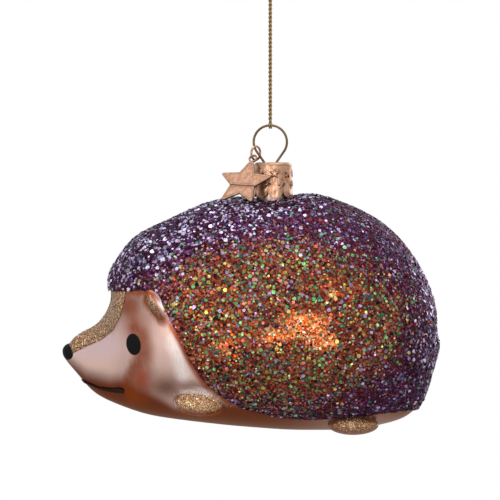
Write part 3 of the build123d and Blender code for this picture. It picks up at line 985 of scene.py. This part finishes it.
# Sprung wire, in millimetres: as the solid's sizes
WIRE_RADIUS = 0.3
RING_LEVEL = -47.0
RING_RADIUS = 4.15
HOLE_LEVEL = -52.25
HOLE_OFFSET = 1.4
LEG_FOOT = -59.15
LEG_REACH = 2.8
BEND_RADIUS = 0.9


def run_of(line):
    """How far along a line each of its points lies."""
    return np.r_[0, np.cumsum(np.linalg.norm(np.diff(line, axis=0), axis=1))]


def respaced(line, step):
    """A line's points again, evenly spaced."""
    run = run_of(line)
    where = np.linspace(0, run[-1], max(int(run[-1] / step), 2))
    return np.c_[[np.interp(where, run, line[:, k]) for k in range(3)]].T


def bend(corner, before, after, radius, steps=10):
    """Points of a round bend at a corner between two straight runs."""
    corner, before, after = (np.array(p, float) for p in (corner, before, after))
    back, on = unit(np.array((before - corner, after - corner)))
    half = math.acos(np.clip(back @ on, -1, 1)) / 2
    middle = corner + (back + on) / np.linalg.norm(back + on) * radius / math.sin(half)
    first, last = (corner + way * radius / math.tan(half) - middle for way in (back, on))
    turned = [first * (1 - k / steps) + last * (k / steps) for k in range(steps + 1)]
    return [middle + p / np.linalg.norm(p) * radius for p in turned]


def wire_line():
    """Centre line of the hanger: leg, bend in the cap, ring, bend and leg."""
    reach = math.hypot(HOLE_OFFSET, RING_LEVEL - HOLE_LEVEL)
    lean = math.asin(RING_RADIUS / reach) - math.atan2(HOLE_OFFSET, RING_LEVEL - HOLE_LEVEL)
    turns = np.linspace(-lean, math.pi + lean, 120)
    ring = [np.array((RING_RADIUS * math.cos(t), RING_LEVEL + RING_RADIUS * math.sin(t))) for t in turns]
    legs = []
    for side, touch in ((1, ring[0]), (-1, ring[-1])):
        foot, hole = (CAP_AXIS + side * LEG_REACH, LEG_FOOT), (side * HOLE_OFFSET, HOLE_LEVEL)
        legs.append([np.array(foot)] + bend(hole, foot, touch, BEND_RADIUS))
    flat = legs[0] + ring + legs[1][::-1]
    return respaced(np.array([(x, 0, z) for x, z in flat]) * MM, 0.15 * MM)


class HEDGEHOG_OT_hanger(bpy.types.Operator):
    """Sprung wire and jump ring"""
    bl_idname = "hedgehog.hanger"
    bl_label = "Hanger and jump ring"

    def execute(self, context):
        look = context.scene.hedgehog_colours
        bm = bmesh.new()
        strand_mesh(bm, wire_line(), WIRE_RADIUS * MM, sides=20)
        bmesh.ops.recalc_face_normals(bm, faces=bm.faces)
        for face in bm.faces:
            face.smooth = len(face.verts) == 4
        antique = plated("antique_gold", look.antique, tint(84, 66, 40), rough=0.3, grain=0.3, dents=0.0)
        new_piece("sprung_wire", bm, antique, "hanger_wire")
        gilt = plated("rose_gold_ring", look.rose_gold, tint(140, 98, 74), rough=0.24, grain=0.4, dents=0.0)
        dressed("jump_link", "jump_ring", gilt, 85.0)
        return {"FINISHED"}


# Star charm: spacing of its grid of points, in metres
STAR_GRID = 0.22 * MM
# Painted shade along the charm's edge and its pressed line: strength, distance from the edge and half width
# (mm)
STAR_SHADE_LINES = ((0.7, 0.0, 0.14), (0.5, 0.5, 0.11))


def rim_edges(bm):
    return [e for e in bm.edges if e.calc_face_angle(0.0) > math.radians(60)]


class HEDGEHOG_OT_star(bpy.types.Operator):
    """Star charm with rounded edges"""
    bl_idname = "hedgehog.star"
    bl_label = "Star charm"

    def execute(self, context):
        look = context.scene.hedgehog_colours
        bm = merged("star_charm", 30.0)
        bmesh.ops.dissolve_limit(bm, angle_limit=math.radians(1.5), verts=bm.verts, edges=bm.edges)
        starts, ends = (np.array([e.verts[k].co.copy() for e in rim_edges(bm)]) for k in (0, 1))
        flat = max(bm.faces, key=lambda face: face.calc_area()).normal.copy()
        across = flat.orthogonal().normalized()
        for way in (across, flat.cross(across)):
            reach = [v.co.dot(way) for v in bm.verts]
            for level in np.arange(min(reach) + STAR_GRID, max(reach), STAR_GRID):
                geom = bm.verts[:] + bm.edges[:] + bm.faces[:]
                bmesh.ops.bisect_plane(bm, geom=geom, plane_co=way * level, plane_no=way, dist=1e-7)
        # Painted shade along the edge and the pressed line
        worn = bm.verts.layers.float.new("crease")
        gaps = from_runs(np.array([v.co for v in bm.verts]), starts, ends) / MM
        for v, away in zip(bm.verts, gaps):
            v[worn] = sum(strength * math.exp(-(((away - place) / width) ** 2))
                          for strength, place, width in STAR_SHADE_LINES)
        bmesh.ops.bevel(bm, geom=rim_edges(bm), offset=0.05 * MM, segments=2, profile=0.5, affect="EDGES",
                        material=-1, clamp_overlap=True)
        smooth_but(bm, 30)
        satin = plated("rose_gold_star", scaled(look.rose_gold, 0.88), tint(172, 126, 102), rough=0.32,
                       grain=1.1, crease=True, dents=0.6)
        new_piece("star_plate", bm, satin, "star_charm")
        return {"FINISHED"}


# Thread, in millimetres: as the solids' sizes, with the routes of its strands
KNOT_FOOT = -10.1
CORD_FOOT = -41.9
WIRE_LEVEL = -42.85
KNOT_LEVEL = -9.0
CORD_ROUTE = ((0, 0, CORD_FOOT), (0, 0, -36.0), (0, 0, -22.0), (0, 0, KNOT_FOOT))
HITCH_ROUTE = (
    (-0.24, 0, 0.74), (-0.24, -0.52, 0.52), (-0.24, -0.74, 0), (-0.24, -0.52, -0.52), (-0.23, 0, -0.74),
    (-0.2, 0.52, -0.52), (-0.14, 0.74, 0), (-0.04, 0.52, 0.52), (0.08, 0, 0.74), (0.18, -0.52, 0.52),
    (0.24, -0.74, 0), (0.25, -0.52, -0.52), (0.25, 0, -0.74), (0.25, 0.52, -0.52), (0.25, 0.74, 0),
    (0.25, 0.52, 0.52), (0.22, 0, 0.74),
)
EYE_ROUTE = (
    (0.22, 0, -8.7), (0.9, 0, -7.0), (1.9, 0, -5.0), (2.75, 0, -3.2), (2.6, 0, -0.9), (1.3, 0, 0.26),
    (-1.3, 0, 0.26), (-2.6, 0, -0.9), (-2.75, 0, -3.2), (-1.9, 0, -5.0), (-0.9, 0, -7.0), (-0.22, 0, -8.7),
)
KNOT_ROUTE = (
    (0, 0, -1.1), (0.1, -0.3, -0.7), (0.7, -0.4, -0.3), (0.7, 0.4, 0.3), (-0.2, 0.8, 0.5),
    (-0.8, 0.2, 0.1), (-0.6, -0.6, -0.4), (0.3, -0.9, -0.1), (0.9, -0.2, 0.5), (0.3, 0.5, 0.0),
    (-0.3, 0.2, -0.4), (-0.4, -0.5, 0.4), (0.1, -0.1, 0.7),
)
# Spacing of the points of a route, in metres, and of the fine bands along a strand, in millimetres
ROUTE_STEP = 0.12 * MM
BAND_SPACING = 0.34


def smooth_line(points):
    """Points, in metres, of a smooth open NURBS line through a route's control points."""
    curve = bpy.data.curves.new("route", "CURVE")
    curve.dimensions = "3D"
    curve.resolution_u = 24
    spline = curve.splines.new("NURBS")
    spline.points.add(len(points) - 1)
    for point, place in zip(spline.points, points):
        point.co = (*scaled(place, MM), 1)
    spline.order_u = 3
    spline.use_endpoint_u = True
    line = bpy.data.objects.new("route", curve)
    mesh = bpy.data.meshes.new_from_object(line)
    found = points_of(mesh)
    bpy.data.objects.remove(line)
    bpy.data.curves.remove(curve)
    bpy.data.meshes.remove(mesh)
    return respaced(found, ROUTE_STEP)


def carried(start, ways):
    """Each way along a line, with two ways across it that don't twist."""
    up = start.orthogonal().normalized()
    for along in ways:
        up = (up - along * up.dot(along)).normalized()
        yield along, up, along.cross(up)


def ring_edges(ring):
    members = set(ring)
    return list({e for v in ring for e in v.link_edges if e.other_vert(v) in members})


def strand_mesh(bm, line, radius, offset=0.0, turns_per_metre=0.0, phase=0.0, sides=10):
    """Sweeps a round strand along a line, at an offset that winds round it."""
    band = bm.verts.layers.float.get("band") or bm.verts.layers.float.new("band")
    run = run_of(line)
    tangents = unit(np.gradient(line, axis=0))
    centres = []
    for point, far, (_, up, side) in zip(line, run, carried(Vector(tangents[0]), map(Vector, tangents))):
        turn = 2 * math.pi * turns_per_metre * far + phase
        centres.append(Vector(point) + offset * (math.cos(turn) * up + math.sin(turn) * side))
    ways = [Vector(way) for way in np.gradient(np.array(centres), axis=0)]
    turned = carried(ways[0], (way.normalized() for way in ways))
    rings = []
    for centre, far, (along, up, side) in zip(centres, run, turned):
        matrix = Matrix((up, side, along)).transposed().to_4x4()
        matrix.translation = centre
        made = bmesh.ops.create_circle(bm, cap_ends=False, segments=sides, radius=radius, matrix=matrix)
        ring = made["verts"]
        for k, v in enumerate(ring):
            v[band] = 0.5 + 0.5 * math.sin(far / MM * 2 * math.pi / BAND_SPACING + k * 2 * math.pi / sides)
        rings.append(ring)
    for low, high in zip(rings[:-1], rings[1:]):
        bmesh.ops.bridge_loops(bm, edges=ring_edges(low) + ring_edges(high))
    for end in (rings[0], rings[-1]):
        bmesh.ops.contextual_create(bm, geom=ring_edges(end))


def strand_pair(name, node, line, radius, offset, turns, material):
    """Two strands twisted round each other along a line."""
    bm = bmesh.new()
    for phase in (0.0, math.pi):
        strand_mesh(bm, line, radius, offset, turns, phase)
    bmesh.ops.recalc_face_normals(bm, faces=bm.faces)
    for face in bm.faces:
        face.smooth = True
    return new_piece(name, bm, material, node)


# Knotted runs of the thread: piece, solid, route, its level (mm), and thickness against the straight run
KNOTTED = (
    ("thread_wraps", "thread_hitch", HITCH_ROUTE, WIRE_LEVEL, 0.9),
    ("thread_eye", "thread_loop", EYE_ROUTE, 0, 0.94),
    ("thread_bend", "thread_knot", KNOT_ROUTE, KNOT_LEVEL, 1.5),
)


class HEDGEHOG_OT_thread(bpy.types.Operator):
    """Twisted thread: straight run, hitch, knot and eye"""
    bl_idname = "hedgehog.thread"
    bl_label = "Thread"

    def execute(self, context):
        look, size = context.scene.hedgehog_colours, context.scene.hedgehog_sizes
        gold = metallic_thread(look)
        radius, turns = size.strand / 2, 1 / size.twist
        line = smooth_line(CORD_ROUTE)
        cord = strand_pair("twisted_thread", "thread_cord", line, radius * 0.96, radius * 0.92, turns, gold)
        for name, node, route, level, thick in KNOTTED:
            run = smooth_line([(x, y, z + level) for x, y, z in route])
            sizes = (radius * thick * 0.56, radius * thick * 0.44)
            strand_pair(name, node, run, *sizes, turns, gold)
        return {"FINISHED"}


# Lamps: place and size (m), and power (W)
LAMPS = {
    "front_window": ((0.10, -0.80, 0.10), (0.22, 0.4), 1.5),
    "left_strip": ((-0.42, -0.66, 0.0), (0.06, 0.55), 1.5),
    "top_box": ((0.05, -0.10, 0.55), (0.6, 0.5), 2.4),
    "back_fill": ((0.45, 0.55, 0.15), (0.4, 0.5), 1.2),
}
LAMP_AIM = Vector((0, 0, -0.09))

# How much the paper shines for the camera
PAPER_SHINE = 0.35
# White surroundings: strength as a light, and as seen by the camera and in mirrors
WORLD_LIGHT = 0.3
WORLD_SEEN = 1.0


def aimed(name, data, place, way):
    """Puts a lamp or a camera in the scene, turned to look along a way."""
    made = bpy.data.objects.new(name, data)
    made.location = place
    made.rotation_mode = "QUATERNION"
    made.rotation_quaternion = way.to_track_quat("-Z", "Y")
    bpy.context.scene.collection.objects.link(made)
    return made


class HEDGEHOG_OT_stage(bpy.types.Operator):
    """Floor, white surroundings, lamps and camera"""
    bl_idname = "hedgehog.stage"
    bl_label = "Stage"

    def execute(self, context):
        scene = context.scene
        scene.view_settings.view_transform = "Standard"
        bm = bmesh.new()
        bmesh.ops.create_circle(bm, cap_ends=True, segments=96, radius=0.75)
        bmesh.ops.translate(bm, verts=bm.verts, vec=(-0.005, 0, -0.27))
        mesh = bpy.data.meshes.new("floor")
        bm.to_mesh(mesh)
        bm.free()
        paper = Paint("floor_paper", roughness=0.9, specular_ior_level=0.1, emission_strength=1.0)
        cloudy = paper.noisy(0.02, detail=2.0)
        paper.feed("Base Color", paper.mixed((0.86, 0.86, 0.86), (0.9, 0.9, 0.9), cloudy))
        camera_ray = paper.node("ShaderNodeLightPath", output="Is Camera Ray")
        paper.feed("Emission Color", paper.grey(camera_ray * PAPER_SHINE))
        paper.feed("Alpha", 1 - paper.node("ShaderNodeNewGeometry", output="Backfacing"))
        mesh.materials.append(paper.material)
        floor = bpy.data.objects.new("floor", mesh)
        scene.collection.objects.link(floor)

        world = bpy.data.worlds.new("studio")
        scene.world = world
        world.use_nodes = True
        world.node_tree.nodes.clear()
        sky = Wiring(world.node_tree)
        looked, glossy, through = (sky.node("ShaderNodeLightPath", output=f"Is {kind} Ray")
                                   for kind in ("Camera", "Glossy", "Transmission"))
        light, seen = (sky.node("ShaderNodeBackground", {}, {"Color": (1, 1, 1, 1), "Strength": strength})
                       for strength in (WORLD_LIGHT, WORLD_SEEN))
        share = (looked + glossy + through).clamped()
        surface = sky.node("ShaderNodeMixShader", {}, (share, light, seen))
        sky.node("ShaderNodeOutputWorld", {}, {"Surface": surface})

        for name, (place, sides, power) in LAMPS.items():
            lamp = bpy.data.lights.new(name, "AREA")
            lamp.shape = "RECTANGLE"
            (lamp.size, lamp.size_y), lamp.energy = sides, power
            aimed(name, lamp, place, LAMP_AIM - Vector(place))

        camera = bpy.data.cameras.new("photo_camera")
        camera.sensor_width = 36.0
        camera.lens = scene.hedgehog_sizes.lens
        camera.clip_start, camera.clip_end = 0.1, 20
        rise = math.radians(1.0)
        x, z = photo([(PHOTO_SIZE / 2, PHOTO_SIZE / 2)])[0]
        back = Vector((0, -math.cos(rise), math.sin(rise)))
        distance = camera.lens / camera.sensor_width * PHOTO_SIZE / PIXELS_PER_MM * MM
        scene.camera = aimed("photo_camera", camera, Vector((x * MM, 0, z * MM)) + back * distance, -back)
        return {"FINISHED"}


class HEDGEHOG_PT_panel(bpy.types.Panel):
    """Lists the ornament's pieces and sizes"""
    bl_idname = "HEDGEHOG_PT_panel"
    bl_label = "Hedgehog ornament"
    bl_space_type = "VIEW_3D"
    bl_region_type = "UI"
    bl_category = "Hedgehog"

    def draw(self, context):
        for group in (context.scene.hedgehog_colours, context.scene.hedgehog_sizes):
            column = self.layout.column()
            for key in group.bl_rna.properties.keys():
                if key not in ("rna_type", "name"):
                    column.prop(group, key)
        for operator in OPERATORS:
            self.layout.operator(operator.bl_idname)


OPERATORS = (
    HEDGEHOG_OT_stage,
    HEDGEHOG_OT_thread,
    HEDGEHOG_OT_glass,
    HEDGEHOG_OT_coat,
    HEDGEHOG_OT_gold,
    HEDGEHOG_OT_enamel,
    HEDGEHOG_OT_cap,
    HEDGEHOG_OT_hanger,
    HEDGEHOG_OT_star,
)
CLASSES = (HEDGEHOG_PG_colours, HEDGEHOG_PG_sizes, *OPERATORS, HEDGEHOG_PT_panel)


def register():
    for item in CLASSES:
        bpy.utils.register_class(item)
    bpy.types.Scene.hedgehog_colours = PointerProperty(type=HEDGEHOG_PG_colours)
    bpy.types.Scene.hedgehog_sizes = PointerProperty(type=HEDGEHOG_PG_sizes)


def unregister():
    del bpy.types.Scene.hedgehog_colours
    del bpy.types.Scene.hedgehog_sizes
    for item in reversed(CLASSES):
        bpy.utils.unregister_class(item)


def main():
    register()
    for operator in OPERATORS:
        getattr(bpy.ops.hedgehog, operator.bl_idname.split(".")[1])()


if __name__ == "__main__":
    main()
